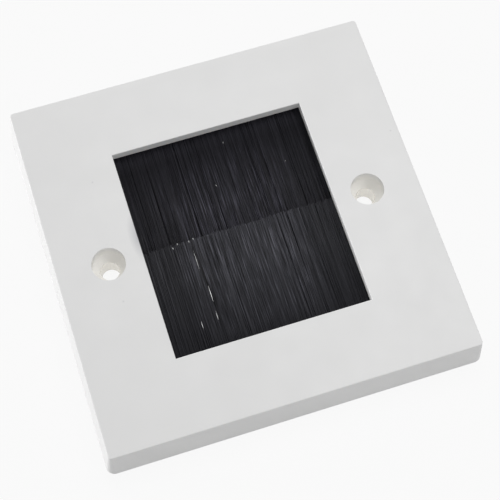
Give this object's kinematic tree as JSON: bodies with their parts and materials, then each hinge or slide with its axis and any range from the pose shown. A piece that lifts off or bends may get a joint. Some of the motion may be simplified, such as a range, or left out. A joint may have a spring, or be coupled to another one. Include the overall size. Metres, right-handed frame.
{
  "type": "brush cable grommet",
  "caption": "Square white wall plate with a rectangular cable opening closed by rows of black bristles, and countersunk screw holes for a standard wall box.",
  "frame": {"origin": "centre of the plate's back rim, on the plane that lies against the wall", "axes": "+Z out of the front face, X along the line through the screw holes, Y along the bristles, towards the top edge"},
  "size_m": [0.086, 0.086, 0.0094],
  "materials": {
    "white_plastic": "satin white moulding",
    "plated_steel": "zinc plated sheet and wire",
    "black_nylon": "satin black filament"
  },
  "bodies": {
    "root": {"faceplate": "white_plastic", "upper_brush_channel": "plated_steel", "lower_brush_channel": "plated_steel", "upper_core_wire": "plated_steel", "lower_core_wire": "plated_steel", "upper_bristles": "black_nylon", "lower_bristles": "black_nylon"}
  },
  "joints": []
}
